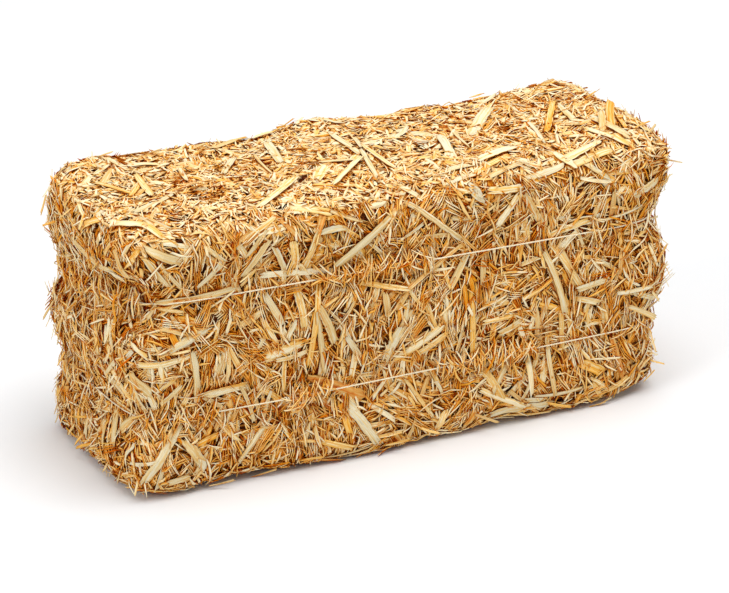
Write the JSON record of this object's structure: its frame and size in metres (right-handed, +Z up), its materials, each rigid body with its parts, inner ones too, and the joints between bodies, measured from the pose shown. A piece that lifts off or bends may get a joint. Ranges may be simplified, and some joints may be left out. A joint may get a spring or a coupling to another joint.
{
  "type": "decorative straw bale",
  "caption": "Small rectangular bale of pressed chopped straw, tied round its length with thin twine, standing free on its flat base.",
  "frame": {"origin": "middle of the flat base", "axes": "+X along the bale's length, to the right of its front; +Y from its front to its back; +Z up"},
  "size_m": [0.3321, 0.1334, 0.157],
  "materials": {
    "packed_straw": "dry chopped straw, matt",
    "pale_straw": "dry split stem, slightly waxy",
    "cream_straw": "dry split stem, slightly waxy",
    "gold_straw": "dry split stem, slightly waxy",
    "twine": "thin twisted two-ply string, matt"
  },
  "bodies": {
    "root": {"straw_body": "packed_straw", "straw_front_01": "cream_straw", "straw_front_02": "pale_straw", "straw_front_03": "cream_straw", "straw_front_04": "pale_straw", "straw_front_05": "pale_straw", "straw_front_06": "cream_straw", "straw_front_07": "cream_straw", "straw_front_08": "cream_straw", "straw_front_09": "pale_straw", "straw_front_10": "pale_straw", "straw_front_11": "cream_straw", "straw_front_12": "cream_straw", "straw_front_13": "gold_straw", "straw_front_14": "gold_straw", "straw_front_15": "pale_straw", "straw_front_16": "gold_straw", "straw_front_17": "cream_straw", "straw_front_18": "cream_straw", "straw_front_19": "gold_straw", "straw_front_20": "pale_straw", "straw_front_21": "pale_straw", "straw_front_22": "cream_straw", "straw_front_23": "pale_straw", "straw_front_24": "cream_straw", "straw_front_25": "gold_straw", "straw_front_26": "cream_straw", "straw_front_27": "cream_straw", "straw_front_28": "cream_straw", "straw_front_29": "pale_straw", "straw_front_30": "pale_straw", "straw_front_31": "gold_straw", "straw_front_32": "cream_straw", "straw_front_33": "pale_straw", "straw_front_34": "gold_straw", "straw_front_35": "pale_straw", "straw_front_36": "cream_straw", "straw_front_37": "cream_straw", "straw_front_38": "pale_straw", "straw_front_39": "cream_straw", "straw_left_end_01": "cream_straw", "straw_left_end_02": "pale_straw", "straw_left_end_03": "cream_straw", "straw_left_end_04": "cream_straw", "straw_left_end_05": "cream_straw", "straw_left_end_06": "pale_straw", "straw_top_01": "pale_straw", "straw_top_02": "gold_straw", "straw_top_03": "cream_straw", "straw_top_04": "cream_straw", "straw_top_05": "pale_straw", "straw_top_06": "cream_straw", "straw_top_07": "gold_straw", "straw_top_08": "pale_straw", "straw_top_09": "cream_straw", "straw_top_10": "gold_straw", "straw_top_11": "pale_straw", "straw_top_12": "pale_straw", "twine_lower": "twine", "twine_upper": "twine"}
  },
  "joints": []
}
